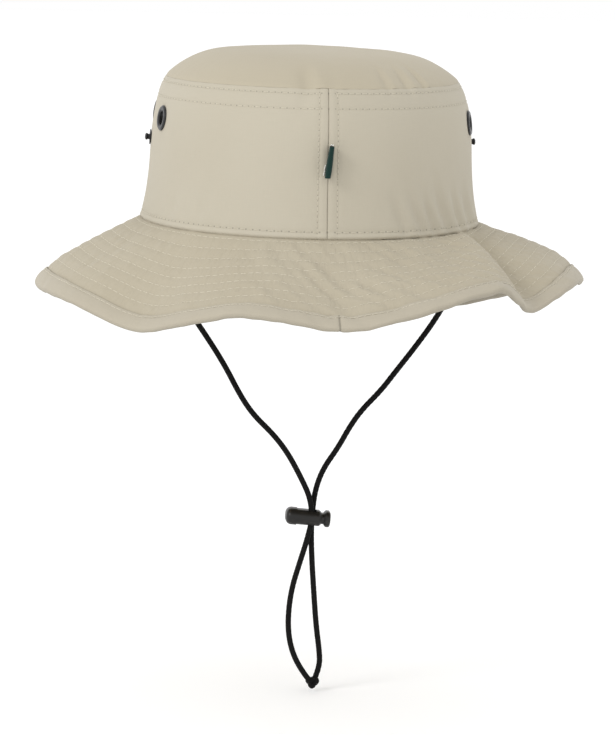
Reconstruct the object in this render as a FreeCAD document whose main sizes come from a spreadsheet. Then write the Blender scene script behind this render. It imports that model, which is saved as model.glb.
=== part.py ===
import FreeCAD, Part
import Sketcher
import math
import os

# A boonie hat. +Z is up, +Y is the front of the hat and the origin is the middle of the head opening,
# at the seam where the crown meets the brim. Lengths are in millimetres and angles in degrees.

Vector = FreeCAD.Vector
doc = FreeCAD.newDocument("boonie_hat")
parts = []

dimensions = {
    "waist": 81.3,            # half the crown's width at its narrowest
    "flare": 5.5,             # how much wider the crown is at the brim
    "flare_reach": 17.0,
    "shoulder": 6.8,          # how much narrower it gets under the top seam
    "seam_height": 72.0,
    "lengthening": 17.5,      # half length minus half width
    "dome_rise": 14.8,
    "cloth": 0.9,
    "seam_gap": 0.3,
    "tape_cloth": 0.5,
    "tape_width": 12.0,
    "tape_gap": 0.3,
    "band_gap": 0.7,
    "band_height": 30.0,
    "band_cloth": 0.8,
    "brim_width": 63.5,
    "ply": 0.6,
    "ply_gap": 0.12,
    "binding_width": 9.0,
    "binding_cloth": 0.7,
    "fold_line": 88.5,        # where each side of the brim folds up, out from the middle
    "fold_gap": 0.5,
    "eyelet_bore": 3.6,
    "eyelet_rim": 6.35,
    "eyelet_height": 52.0,
    "eyelet_forward": 28.0,
    "stud_height": 40.5,
    "stud_flange": 3.8,
    "stud_head": 1.7,
    "stud_reach": 2.9,
    "rivet": 1.3,
    "socket_along": 44.8,     # from the crown seam, along the brim
    "socket_rim": 5.5,
    "socket_depth": 1.9,
    "tab_thick": 1.2,
    "tab_reach": 8.0,
    "tab_height": 16.0,
    "tab_foot": 31.0,
    "cord": 3.0,
    "anchor_out": 81.0,
    "anchor_foot": -3.0,
    "anchor_thick": 3.2,
    "anchor_wide": 9.0,
    "anchor_tall": 8.0,
    "toggle_across": 4.9,
    "toggle_drop": 155.6,
    "toggle_tilt": 5.0,
    "barrel_high": 7.9,
    "barrel_deep": 11.6,
    "barrel_left": 13.7,
    "barrel_right": 4.6,
    "cap_long": 5.7,
    "bore_high": 5.8,
    "bore_deep": 9.4,
    "slot_wide": 4.4,
    "slot_deep": 6.8,
    "plunger_slack": 0.2,
    "press": 1.5,
    "knob_high": 8.2,
    "knob_long": 3.2,
    "spring_wire": 0.5,
    "knot_size": 3.5,
}

dims = doc.addObject("Spreadsheet::Sheet", "dims")
for row, (alias, value) in enumerate(dimensions.items(), 1):
    dims.set(f"A{row}", alias)
    dims.set(f"B{row}", str(value))
    dims.setAlias(f"B{row}", alias)
doc.recompute()


def size(name):
    return float(getattr(dims, name))


def keep(item, label):
    """A finished sub-part: its label is its node's name."""
    item.Label = label
    parts.append(item)
    return item


def solid_feature(label, shape, placement=None):
    item = doc.addObject("Part::Feature", label)
    item.Shape = shape
    if placement is not None:
        item.Placement = placement
    return keep(item, label)


# ---- shared geometry of the crown and the brim

def half_width(height):
    flare = size("flare") * math.exp(-height / size("flare_reach"))
    shoulder = size("shoulder") * (height / size("seam_height")) ** 6
    return size("waist") + flare - shoulder


def crown_frame(side, forward, height):
    """Where a fitting sits on the crown's outer face, its Z axis square to the cloth and pointing out."""
    across = half_width(height)
    along = across + size("lengthening")
    x = side * across * math.sqrt(1 - (forward / along) ** 2)
    step = 0.5
    slope = (half_width(height + step) - half_width(height - step)) / (2 * step)
    normal = Vector(x / across ** 2, forward / along ** 2, 0).normalize()
    normal.z = -slope
    place = Vector(x, forward, height)
    return FreeCAD.Placement(place, FreeCAD.Rotation(Vector(0, 0, 1), normal.normalize()))


# How far the brim hangs below level, by direction around the hat. 0 is the back and 90 the right side.
droop_stations = [
    (-180, 45), (-160, 44), (-140, 43), (-120, 41), (-105, 37), (-90, 32), (-72, 30), (-58, 34),
    (-44, 45), (-30, 37), (-16, 29.5), (2, 36), (15, 28.5), (31, 20), (41, 29), (60, 20), (76, 23),
    (90, 27), (105, 35), (122, 46), (140, 57), (160, 50), (180, 45),
]


def droop(azimuth):
    """A smooth curve through the stations: Hermite spans with the slopes of their neighbours."""
    azimuth = (azimuth + 180) % 360 - 180
    ring = droop_stations
    count = len(ring) - 1
    k = max(i for i in range(count) if ring[i][0] <= azimuth)
    before = ring[k - 1] if k else (ring[count - 1][0] - 360, ring[count - 1][1])
    after = ring[k + 2] if k + 2 <= count else (ring[1][0] + 360, ring[1][1])
    (t0, a), (t1, b) = ring[k], ring[k + 1]
    span = t1 - t0
    slope_a = (b - before[1]) / (t1 - before[0]) * span
    slope_b = (after[1] - a) / (after[0] - t0) * span
    u = (azimuth - t0) / span
    return (
        a * (2 * u ** 3 - 3 * u ** 2 + 1) + slope_a * (u ** 3 - 2 * u ** 2 + u)
        + b * (3 * u ** 2 - 2 * u ** 3) + slope_b * (u ** 3 - u ** 2)
    )


def brim_frame(azimuth, along, depth=0.0):
    """A point on the brim and its upward normal, along it from the crown seam and depth below its top."""
    turn = math.radians(azimuth)
    across = half_width(0) - size("cloth")
    length = across + size("lengthening")
    foot = Vector(across * math.sin(turn), -length * math.cos(turn), -0.2)
    out = Vector(length * math.sin(turn), -across * math.cos(turn), 0).normalize()
    hang = math.radians(droop(azimuth))
    tuck = 1 - 0.07 * math.exp(-((azimuth - 73) / 12) ** 2)
    normal = out * math.sin(hang) + Vector(0, 0, math.cos(hang))
    run = out * math.cos(hang) - Vector(0, 0, math.sin(hang))
    return foot + run * (along * tuck) - normal * depth, normal


def facet_solid(rings, closed):
    """A solid whose skin joins each ring of points to the next, and the last to the first or capped.
    Each four-sided patch is split along the diagonal from its inner near corner, so layers nest."""
    facets = []
    pairs = list(zip(rings, rings[1:]))
    if closed:
        pairs.append((rings[-1], rings[0]))
    for near, far in pairs:
        for j in range(len(near)):
            i = (j + 1) % len(near)
            outward = math.hypot(near[i].x, near[i].y) > math.hypot(near[j].x, near[j].y)
            a, b = (near[j], far[i]) if outward else (near[i], far[j])
            facets.append([near[j], near[i], b, near[j]])
            facets.append([a, far[i], far[j], a])
    if not closed:
        facets += [rings[0] + rings[0][:1], rings[-1] + rings[-1][:1]]
    shell = Part.makeShell([Part.Face(Part.makePolygon(facet)) for facet in facets])
    shell.sewShape()
    solid = Part.Solid(shell)
    if solid.Volume < 0:
        solid.reverse()
    return solid


# ---- crown

def oval(height, inset):
    """A ring of the crown at a height given in seam heights, drawn in from the outer face by inset."""
    ring = doc.addObject("Part::Ellipse", "oval")
    ring.Placement = FreeCAD.Placement(Vector(), FreeCAD.Rotation(Vector(0, 0, 1), 90))
    level = f"dims.seam_height * {height}"
    width = (
        f"dims.waist + dims.flare * exp(-({level}) / dims.flare_reach)"
        f" - dims.shoulder * {height} ^ 6 - ({inset})"
    )
    ring.setExpression("Placement.Base.z", level)
    ring.setExpression("MajorRadius", f"{width} + dims.lengthening")
    ring.setExpression("MinorRadius", width)
    return ring


def loft(rings):
    item = doc.addObject("Part::Loft", "loft")
    item.Sections = rings
    item.Solid = True
    item.Ruled = False
    return item


def cut(base, tool):
    item = doc.addObject("Part::Cut", "cut")
    item.Base = base
    item.Tool = tool
    return item


def common(base, tool):
    item = doc.addObject("Part::Common", "common")
    item.Base = base
    item.Tool = tool
    return item


def wall(low, high, outer, inner):
    """A band of cloth that follows the crown between two heights and two insets."""
    levels = [low + (high - low) * k / 4 for k in range(5)]
    return cut(loft([oval(h, outer) for h in levels]), loft([oval(h, inner) for h in levels]))


def keep_box(corner, spans):
    """A box whose corner and spans are expressions."""
    item = doc.addObject("Part::Box", "box")
    for axis, value in zip("xyz", corner):
        item.setExpression(f"Placement.Base.{axis}", value)
    for name, value in zip(("Length", "Width", "Height"), spans):
        item.setExpression(name, value)
    return item


def drill(frame, radius):
    item = doc.addObject("Part::Cylinder", "drill")
    item.setExpression("Radius", radius)
    item.Height = 20
    item.Placement = frame.multiply(FreeCAD.Placement(Vector(0, 0, -10), FreeCAD.Rotation()))
    return item


side_names = {-1: "left", 1: "right"}
end_names = {-1: "back", 1: "front"}


def eyelet_frame(side, end):
    return crown_frame(side, end * size("eyelet_forward"), size("eyelet_height"))


def stud_frame(side):
    return crown_frame(side, 0, size("stud_height"))


def crown_side_panel(side):
    low_x = "dims.seam_gap / 2" if side > 0 else "-100"
    half = keep_box((low_x, "-120", "-5"), ("100 - dims.seam_gap / 2", "240", "100"))
    holes = doc.addObject("Part::MultiFuse", "holes")
    holes.Shapes = [
        drill(eyelet_frame(side, -1), "dims.eyelet_bore + 0.6"),
        drill(eyelet_frame(side, 1), "dims.eyelet_bore + 0.6"),
        drill(stud_frame(side), "dims.rivet + 0.2"),
    ]
    panel = common(wall(0, 0.996, "0", "dims.cloth"), half)
    keep(cut(panel, holes), f"crown_side_panel_{side_names[side]}")


def dome(inset):
    """The top panel's face: an oval that swells up from the top seam and flattens in the middle."""
    rings = []
    for share in (1, 0.96, 0.88, 0.75, 0.55, 0.3, 0.05):
        ring = doc.addObject("Part::Ellipse", "dome_ring")
        ring.Placement = FreeCAD.Placement(Vector(), FreeCAD.Rotation(Vector(0, 0, 1), 90))
        width = f"dims.waist - dims.shoulder - {inset}"
        rise = f"(dims.dome_rise - {inset}) * (1 - {share} ^ 5)"
        ring.setExpression("Placement.Base.z", f"dims.seam_height + {rise}")
        ring.setExpression("MajorRadius", f"({width} + dims.lengthening) * {share}")
        ring.setExpression("MinorRadius", f"({width}) * {share}")
        rings.append(ring)
    return loft(rings)


for side in side_names:
    crown_side_panel(side)
keep(cut(dome("0"), dome("dims.cloth")), "crown_top_panel")

under_wall = "dims.cloth + dims.tape_gap"
tape_face = f"{under_wall} + dims.tape_cloth"
keep(wall(0.9, 0.99, under_wall, tape_face), "top_seam_tape")


def seam_tape(end):
    low_y = "-120" if end < 0 else "0"
    strip = keep_box(("-dims.tape_width / 2", low_y, "0"), ("dims.tape_width", "120", "100"))
    keep(common(wall(0.44, 0.88, under_wall, tape_face), strip), f"{end_names[end]}_seam_tape")


for end in end_names:
    seam_tape(end)

band_back = "dims.cloth + dims.band_gap"
band_face = f"{band_back} + dims.band_cloth"
keep(wall(0, size("band_height") / size("seam_height"), band_back, band_face), "sweatband")


def size_label():
    strip = keep_box(("-11", "-120", "0"), ("22", "120", "100"))
    keep(common(wall(0.1, 0.32, f"{band_face} + 0.2", f"{band_face} + 0.5"), strip), "size_label")


def back_seam_tab():
    """A folded ribbon held in the back seam, edge on, so that it stands out from the crown."""
    outer = half_width(size("tab_foot")) + size("lengthening") + 0.2
    corner = ("-dims.tab_thick / 2", f"-{outer} - dims.tab_reach", "0")
    loop = keep_box(corner, ("dims.tab_thick", "dims.tab_reach", "dims.tab_height"))
    leaf = keep_box(("-0.08", f"-{outer}", "2"), ("0.16", "1.4", "dims.tab_height - 4"))
    tab = doc.addObject("Part::Fuse", "tab")
    tab.Base = loop
    tab.Tool = leaf
    tab.Placement.Base = Vector(0, 0, size("tab_foot"))
    keep(tab, "back_seam_tab")


size_label()
back_seam_tab()


# ---- brim: three plies and an edge binding, in a middle piece and two sides that fold up

gore = 4.0
ply_step = size("ply") + size("ply_gap")
brim_thick = 3 * size("ply") + 2 * size("ply_gap")
edge = size("brim_width")


def along_at(azimuth, depth, x):
    """How far along the brim a direction reaches the upright plane at x."""
    foot = brim_frame(azimuth, 0, depth)[0]
    tip = brim_frame(azimuth, 1, depth)[0]
    return (x - foot.x) / (tip.x - foot.x)


def crossing(low, high, along, x):
    """The direction between low and high in which the point at that distance along reaches x."""
    sign = 1 if brim_frame(high, along)[0].x > x else -1
    for _ in range(40):
        middle = (low + high) / 2
        if (brim_frame(middle, along)[0].x - x) * sign > 0:
            high = middle
        else:
            low = middle
    return (low + high) / 2


def directions(start, end):
    """Both ends, and the gore lines between them, which every piece of the brim shares."""
    between = range(math.ceil((start + 0.5) / gore), math.floor((end - 0.5) / gore) + 1)
    return [start] + [k * gore for k in between] + [end]


def side_span(side, along, x):
    """The first and last directions, round one side, that reach past x at that distance along."""
    if side > 0:
        return crossing(10, 80, along, x), crossing(100, 170, along, x)
    return crossing(-170, -100, along, -x), crossing(-80, -10, along, -x)


def ply_section(azimuth, layer, near, far):
    """A ply's outline in one direction. near and far turn a depth into distances along the brim."""
    outline = []
    for depth in (layer * ply_step, layer * ply_step + size("ply")):
        start, end = near(depth), far(depth)
        middle = edge - size("binding_width")
        if not start + 1 < middle < end - 1:
            middle = (start + end) / 2
        outline.append([brim_frame(azimuth, along, depth)[0] for along in (start, middle, end)])
    top, bottom = outline
    return top + bottom[::-1]


def middle_ply(layer):
    """The ring round the crown, out to the edge at front and back and to the fold lines at the sides."""
    limit = size("fold_line") - size("fold_gap") / 2
    right_start, right_end = side_span(1, edge, limit)
    left_start, left_end = side_span(-1, edge, limit)
    rings = []
    for start, end, x in (
        (left_start, left_end, -limit), (left_end, right_start, 0),
        (right_start, right_end, limit), (right_end, left_start + 360, 0),
    ):
        for azimuth in directions(start, end)[:-1]:
            far = (lambda depth: along_at(azimuth, depth, x)) if x else (lambda depth: edge)
            rings.append(ply_section(azimuth, layer, lambda depth: 0, far))
    return facet_solid(rings, True)


def side_ply(side, layer):
    """One side beyond the fold line, drilled for the snap socket's rivet."""
    limit = size("fold_line") + size("fold_gap") / 2
    start, end = side_span(side, edge - 3, limit)
    rings = [
        ply_section(
            azimuth, layer, lambda depth: along_at(azimuth, depth, side * limit), lambda depth: edge
        )
        for azimuth in directions(start, end)
    ]
    whole = facet_solid(rings, False)
    drilled = whole.cut(rivet_hole(side))
    if not 0 < whole.Volume - drilled.Volume < 10:
        raise RuntimeError("the rivet hole wasn't cut")
    return drilled.Solids[0]


def binding(start, end):
    """A folded strip that wraps the edge of all three plies."""
    inner = edge - size("binding_width")
    slack = 0.3
    cloth = size("binding_cloth")
    over, under = -slack - cloth, brim_thick + slack + cloth
    outline = [
        (inner, over), (edge + slack + cloth, over), (edge + slack + cloth, under), (inner, under),
        (inner, under - cloth), (edge + slack, under - cloth),
        (edge + slack, over + cloth), (inner, over + cloth),
    ]
    rings = [[brim_frame(azimuth, a, d)[0] for a, d in outline] for azimuth in directions(start, end)]
    return facet_solid(rings, False)


def socket_frame(side):
    """On top of the brim straight out from the stud, square to the cloth, which also slopes sideways."""
    along = size("socket_along")
    place = brim_frame(90 * side, along)[0]
    sideways = brim_frame(90 * side + gore, along)[0] - brim_frame(90 * side - gore, along)[0]
    normal = (brim_frame(90 * side, along - 1)[0] - place).cross(sideways)
    if normal.z < 0:
        normal = -normal
    return FreeCAD.Placement(place, FreeCAD.Rotation(Vector(0, 0, 1), normal.normalize()))


def rivet_hole(side):
    tool = Part.makeCylinder(size("rivet") + 0.2, 20, Vector(0, 0, -10))
    tool.Placement = socket_frame(side)
    return tool


def brim():
    for layer, name in enumerate(("upper_ply", "interlining", "lower_ply")):
        solid_feature(f"brim_{name}", middle_ply(layer))
        for side, where in side_names.items():
            solid_feature(f"brim_{where}_{name}", side_ply(side, layer))
    inside = size("fold_line") - size("fold_gap") / 2
    outside = size("fold_line") + size("fold_gap") / 2
    outer = edge + 1
    right_start, right_end = side_span(1, outer, inside)
    left_start, left_end = side_span(-1, outer, inside)
    solid_feature("brim_back_binding", binding(left_end, right_start))
    solid_feature("brim_front_binding", binding(right_end, left_start + 360))
    for side, where in side_names.items():
        span = side_span(side, edge - size("binding_width"), outside)
        solid_feature(f"brim_{where}_binding", binding(*span))


brim()


# ---- metal fittings, each turned from an outline of (radius, height) expressions about its own Z axis

def number(expression):
    return float(dims.evalExpression(expression))


def turned(label, outline, frame):
    body = doc.addObject("PartDesign::Body", label)
    sketch = body.newObject("Sketcher::SketchObject", f"{label}_outline")
    plane = next(f for f in body.Origin.OriginFeatures if f.Role == "XZ_Plane")
    sketch.AttachmentSupport = (plane, [""])
    sketch.MapMode = "FlatFace"
    corners = [Vector(number(x), number(y), 0) for x, y in outline]
    count = len(corners)
    for k in range(count):
        sketch.addGeometry(Part.LineSegment(corners[k], corners[(k + 1) % count]), False)
    for k in range(count):
        sketch.addConstraint(Sketcher.Constraint("Coincident", k, 2, (k + 1) % count, 1))
    for k, (x, y) in enumerate(outline):
        for way, value, spot in (("DistanceX", x, corners[k].x), ("DistanceY", y, corners[k].y)):
            row = sketch.addConstraint(Sketcher.Constraint(way, -1, 1, k, 1, spot))
            sketch.setExpression(f"Constraints[{row}]", value)
    doc.recompute()
    turn = body.newObject("PartDesign::Revolution", f"{label}_turn")
    turn.Profile = sketch
    turn.ReferenceAxis = (sketch, ["V_Axis"])
    turn.Angle = 360
    body.Placement = frame
    return keep(body, label)


def shifted(frame, height):
    return frame.multiply(FreeCAD.Placement(Vector(0, 0, height), FreeCAD.Rotation()))


def eyelet(side, end):
    """A rolled rim on the outside, with a barrel through the cloth, and a washer inside."""
    name = f"{side_names[side]}_{end_names[end]}"
    rim = [
        ("dims.eyelet_bore", "0"), ("dims.eyelet_bore + 0.4", "0"), ("dims.eyelet_bore + 0.4", "2.2"),
        ("dims.eyelet_rim", "2.2"), ("dims.eyelet_rim", "2.6"), ("dims.eyelet_rim - 0.7", "3.2"),
        ("dims.eyelet_bore + 0.8", "3.2"), ("dims.eyelet_bore", "2.6"),
    ]
    turned(f"vent_eyelet_{name}", rim, shifted(eyelet_frame(side, end), -2.15))
    washer = [
        ("dims.eyelet_bore + 0.6", "0"), ("dims.eyelet_rim - 0.2", "0"),
        ("dims.eyelet_rim - 0.2", "0.4"), ("dims.eyelet_bore + 0.6", "0.4"),
    ]
    turned(f"eyelet_washer_{name}", washer, shifted(eyelet_frame(side, end), -1.9))


def stud(side):
    """The snap stud on the crown, and the back plate that it is riveted to."""
    name = side_names[side]
    outline = [
        ("0", "0"), ("dims.rivet", "0"), ("dims.rivet", "2"), ("dims.stud_flange", "2"),
        ("dims.stud_flange", "2.5"),
        ("dims.stud_head * 0.8", "2.7"), ("dims.stud_head * 0.8", "3.4"), ("dims.stud_head", "3.9"),
        ("dims.stud_head", "dims.stud_reach + 1.6"), ("dims.stud_head * 0.6", "dims.stud_reach + 2"),
        ("0", "dims.stud_reach + 2"),
    ]
    turned(f"snap_stud_{name}", outline, shifted(stud_frame(side), -1.9))
    plate = [
        ("dims.rivet + 0.05", "0"), ("dims.stud_flange", "0"),
        ("dims.stud_flange", "0.5"), ("dims.rivet + 0.05", "0.5"),
    ]
    turned(f"stud_back_plate_{name}", plate, shifted(stud_frame(side), -1.75))


def socket(side):
    """The snap socket on top of the brim, and the cap under it whose post holds it."""
    name = side_names[side]
    cup = [
        ("0", "0"), ("dims.socket_rim", "0"), ("dims.socket_rim", "0.5"),
        ("dims.socket_rim - 1.4", "dims.socket_depth"), ("dims.stud_head + 0.9", "dims.socket_depth"),
        ("dims.stud_head + 0.9", "0.5"), ("0", "0.5"),
    ]
    turned(f"snap_socket_{name}", cup, shifted(socket_frame(side), 0.25))
    cap = [
        ("0", "0"), ("3.2", "0"), ("dims.socket_rim", "0.6"), ("6", "1.3"), ("6", "1.5"),
        ("dims.rivet", "1.5"),
        ("dims.rivet", f"{brim_thick} + 1.9"), ("0", f"{brim_thick} + 1.9"),
    ]
    turned(f"socket_cap_{name}", cap, shifted(socket_frame(side), -brim_thick - 1.75))


for side in side_names:
    for end in end_names:
        eyelet(side, end)
    stud(side)
    socket(side)


# ---- chin cord, its anchors, its toggle and the knot

def anchor(side):
    """A folded twill tab sewn to the sweatband: the cord's end is stitched into its lower edge."""
    corner = (
        f"dims.anchor_out * {side} - dims.anchor_thick / 2", "-dims.anchor_wide / 2", "dims.anchor_foot"
    )
    spans = ("dims.anchor_thick", "dims.anchor_wide", "dims.anchor_tall")
    keep(keep_box(corner, spans), f"cord_anchor_{side_names[side]}")


left_route = [
    (-81, 0, -3), (-81, 0, -13), (-75, -0.4, -27), (-66, -0.8, -41), (-54.5, -1.2, -57),
    (-42.5, -1.4, -75),
    (-33.5, -1.6, -92), (-26.5, -1.6, -102), (-16, -1.6, -112), (-8.5, -1.6, -121.5), (-1.5, -1.6, -134),
    (3.8, -1.6, -145), (5.1, -1.6, -156), (3.6, -1.6, -167), (0.2, -1.6, -178),
    (-4.6, -1.6, -194), (-6.6, -1.6, -211),
    (-4.8, -1.6, -224), (0.2, -1.6, -235), (5, -1.6, -241),
]
right_route = [
    (81, 0, -3), (81, 0, -14), (78.5, 0.3, -27), (74, 0.7, -38), (66.5, 1.1, -52), (56, 1.4, -67),
    (46.5, 1.6, -79.5), (39.5, 1.6, -89), (29.5, 1.6, -99.5), (23.5, 1.6, -108.5), (18, 1.6, -119),
    (10.5, 1.6, -130), (6.6, 1.6, -141), (5.4, 1.6, -152), (4.9, 1.6, -163), (5.6, 1.6, -178),
    (7, 1.6, -195), (8.6, 1.6, -213),
    (10.7, 1.6, -227), (11, 1.6, -235), (8.5, 1.6, -241.5),
]


def cord(label, route):
    """A round cord along straight runs joined by arcs, each arc as large as its two runs allow."""
    points = [Vector(*p) for p in route]
    edges = []
    start = points[0]
    radii = []
    for before, corner, after in zip(points, points[1:], points[2:]):
        back, ahead = before - corner, after - corner
        turn = math.pi - back.getAngle(ahead)
        trim = 0.45 * min(back.Length, ahead.Length)
        radii.append(trim / math.tan(turn / 2))
        first = corner + back.normalize() * trim
        last = corner + ahead.normalize() * trim
        bow = (back + ahead).normalize()
        reach = radii[-1] / math.cos(turn / 2) - radii[-1]
        edges.append(Part.LineSegment(start, first).toShape())
        edges.append(Part.Arc(first, corner + bow * reach, last).toShape())
        start = last
    edges.append(Part.LineSegment(start, points[-1]).toShape())
    path = Part.Wire(edges)
    radius = size("cord") / 2
    section = Part.Wire(Part.makeCircle(radius, points[0], points[1] - points[0]))
    tube = path.makePipeShell([section], True, False)
    runs = [(b - a).Length for a, b in zip(points, points[1:])]
    ratio = max(max(a / b, b / a) for a, b in zip(runs, runs[1:]))
    expected = math.pi * radius ** 2 * path.Length
    print(f"{label}: length {path.Length:.1f}, least radius {min(radii):.1f}, longest run {max(runs):.1f},"
          f" worst ratio {ratio:.2f}, volume {tube.Volume / expected:.4f} of section times length")
    solid_feature(label, tube)


toggle_place = FreeCAD.Placement(
    Vector(size("toggle_across"), 0, -size("toggle_drop")),
    FreeCAD.Rotation(Vector(0, 1, 0), size("toggle_tilt")),
)


def lozenge(left, right, high, deep):
    """A bar along X with an oval section, flat above and below and round at the two edges."""
    bar = doc.addObject("Part::Box", "bar")
    bar.setExpression("Placement.Base.x", left)
    bar.setExpression("Placement.Base.y", f"-({deep}) / 2")
    bar.setExpression("Placement.Base.z", f"-({high}) / 2")
    bar.setExpression("Length", f"{right} - ({left})")
    bar.setExpression("Width", deep)
    bar.setExpression("Height", high)
    doc.recompute()
    rounded = doc.addObject("Part::Fillet", "rounded")
    rounded.Base = bar
    radius = number(high) / 2 - 0.02
    long_edges = [k for k, e in enumerate(bar.Shape.Edges, 1) if abs(e.tangentAt(e.FirstParameter).x) > 0.9]
    rounded.Edges = [(k, radius, radius) for k in long_edges]
    doc.recompute()
    return rounded


def end_round(base, at, radius):
    """Rounds the rim of a bar's end face at x = at."""
    item = doc.addObject("Part::Fillet", "end_round")
    item.Base = base
    rim = [k for k, e in enumerate(base.Shape.Edges, 1) if all(abs(v.X - at) < 0.01 for v in e.Vertexes)]
    item.Edges = [(k, radius, radius) for k in rim]
    doc.recompute()
    return item


def end_bevel(base, at, along, inward):
    item = doc.addObject("Part::Chamfer", "end_bevel")
    item.Base = base
    rim = [k for k, e in enumerate(base.Shape.Edges, 1) if all(abs(v.X - at) < 0.01 for v in e.Vertexes)]
    item.Edges = [(k, along, inward) for k in rim]
    doc.recompute()
    return item


def fuse(items):
    item = doc.addObject("Part::MultiFuse", "fuse")
    item.Shapes = items
    return item


def cord_slot(left, right):
    return keep_box((left, "-dims.slot_deep / 2", "-10"), (f"{right} - ({left})", "dims.slot_deep", "20"))


def toggle_body():
    """An oval barrel, closed and domed at its left end, with a slot through it for the two cords."""
    cap = lozenge("-dims.barrel_left", "-dims.barrel_left + dims.cap_long", "dims.barrel_high + 0.7",
                  "dims.barrel_deep + 0.7")
    cap = end_round(cap, -size("barrel_left"), 3.0)
    barrel = lozenge("-dims.barrel_left + 3", "dims.barrel_right", "dims.barrel_high", "dims.barrel_deep")
    barrel = end_bevel(barrel, size("barrel_right"), 1.0, 0.7)
    bore = lozenge("-dims.barrel_left + 3.2", "dims.barrel_right + 1", "dims.bore_high", "dims.bore_deep")
    hollow = fuse([bore, cord_slot("-dims.slot_wide / 2", "dims.slot_wide / 2")])
    body = cut(fuse([cap, barrel]), hollow)
    doc.recompute()
    body.Placement = toggle_place
    keep(body, "toggle_body")


def toggle_plunger():
    """A bar that slides in the barrel, slotted for the cords, with a knob outside to press."""
    high = "dims.bore_high - 2 * dims.plunger_slack"
    deep = "dims.bore_deep - 2 * dims.plunger_slack"
    neck = "dims.barrel_right + dims.press + 0.1"
    stem = lozenge("-dims.slot_wide / 2 - 2.4", f"{neck} + 1", high, deep)
    knob = lozenge(neck, f"{neck} + dims.knob_long", "dims.knob_high", "dims.barrel_deep + 0.3")
    start = number(neck)
    knob = end_round(knob, start + size("knob_long"), 1.1)
    knob = end_bevel(knob, start, 1.0, 1.0)
    slot = cord_slot("-dims.slot_wide / 2 + 0.1", "dims.slot_wide / 2 + dims.press")
    plunger = cut(fuse([stem, knob]), slot)
    doc.recompute()
    plunger.Placement = toggle_place
    keep(plunger, "toggle_plunger")


def toggle_spring():
    """The coil spring behind the plunger."""
    left = -size("barrel_left") + 3.3
    right = -size("slot_wide") / 2 - 2.5
    wire = size("spring_wire")
    radius = 1.9
    helix = Part.makeHelix((right - left - wire) / 4.5, right - left - wire, radius)
    section = Part.Wire(Part.makeCircle(wire / 2, Vector(radius, 0, 0), Vector(0, 1, 0)))
    coil = Part.Wire(helix.Edges).makePipeShell([section], True, True)
    along = FreeCAD.Placement(Vector(left + wire / 2, 0, 0), FreeCAD.Rotation(Vector(0, 1, 0), 90))
    solid_feature("toggle_spring", coil, toggle_place.multiply(along))


def knot():
    ball = doc.addObject("Part::Ellipsoid", "ball")
    ball.setExpression("Radius1", "dims.knot_size - 0.2")
    ball.setExpression("Radius2", "dims.knot_size + 0.2")
    ball.setExpression("Radius3", "dims.knot_size")
    ball.Placement.Base = Vector(7.2, 0, -243)
    keep(ball, "cord_knot")


for side in side_names:
    anchor(side)
cord("chin_cord_left", left_route)
cord("chin_cord_right", right_route)
toggle_body()
toggle_plunger()
toggle_spring()
knot()


# ---- check and write

doc.recompute()
for item in doc.Objects:
    if "Invalid" in item.State or "Error" in item.State:
        raise RuntimeError(f"{item.Name} ({item.Label}) failed: {item.State}")
for item in parts:
    if item.Shape.isNull() or not item.Shape.isValid() or not item.Shape.Solids:
        raise RuntimeError(f"{item.Label} is not a valid solid")

os.makedirs("parts", exist_ok=True)
for item in parts:
    item.Shape.exportStep(f"parts/{item.Label}.step")
print(len(parts), "parts")
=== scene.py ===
from bisect import bisect_right
from math import ceil, cos, exp, floor, pi, radians, sin, sqrt, tau

import bpy
from mathutils import Matrix, Vector, noise


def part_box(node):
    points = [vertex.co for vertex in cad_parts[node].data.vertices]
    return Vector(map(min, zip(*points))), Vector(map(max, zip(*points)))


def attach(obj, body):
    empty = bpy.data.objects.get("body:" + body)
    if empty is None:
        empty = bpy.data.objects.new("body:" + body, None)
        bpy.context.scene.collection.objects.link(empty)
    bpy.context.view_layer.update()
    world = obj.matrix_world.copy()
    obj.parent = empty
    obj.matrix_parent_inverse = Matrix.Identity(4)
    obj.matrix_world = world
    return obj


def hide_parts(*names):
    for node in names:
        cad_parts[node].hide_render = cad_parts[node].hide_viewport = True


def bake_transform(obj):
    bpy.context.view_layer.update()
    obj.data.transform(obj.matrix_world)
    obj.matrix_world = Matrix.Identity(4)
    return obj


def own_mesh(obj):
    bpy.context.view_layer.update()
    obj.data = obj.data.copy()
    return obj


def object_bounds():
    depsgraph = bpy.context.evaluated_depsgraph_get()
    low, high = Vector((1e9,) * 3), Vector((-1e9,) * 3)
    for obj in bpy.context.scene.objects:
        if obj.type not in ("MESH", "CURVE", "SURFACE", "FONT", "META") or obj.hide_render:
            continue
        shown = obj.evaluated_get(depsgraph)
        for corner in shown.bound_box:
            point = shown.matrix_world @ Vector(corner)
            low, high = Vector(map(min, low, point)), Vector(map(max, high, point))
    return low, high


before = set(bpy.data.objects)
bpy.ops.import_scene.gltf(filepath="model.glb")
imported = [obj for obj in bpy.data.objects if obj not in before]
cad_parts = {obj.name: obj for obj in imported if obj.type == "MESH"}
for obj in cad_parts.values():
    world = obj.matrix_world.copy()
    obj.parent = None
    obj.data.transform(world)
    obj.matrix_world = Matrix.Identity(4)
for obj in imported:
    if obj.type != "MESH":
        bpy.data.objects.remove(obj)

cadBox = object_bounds()
mm = 0.001
up = Vector((0, 0, 1))
scene = bpy.context.scene


def noiseAt(x, y, z):
    return noise.noise(Vector((x, y, z)))


def bell(value, middle, spread):
    return exp(-((value - middle) / spread) ** 2)


def spaced(first, last, step):
    count = max(1, round((last - first) / step))
    return [first + (last - first) * k / count for k in range(count + 1)]


# Camera

view = {
    "distance": 1.8, "turn": -5.0, "rise": 5.5, "roll": 1.3,
    "aim": (0.00095, -0.0001, -0.0772), "lens": 172.0,
}


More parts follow.
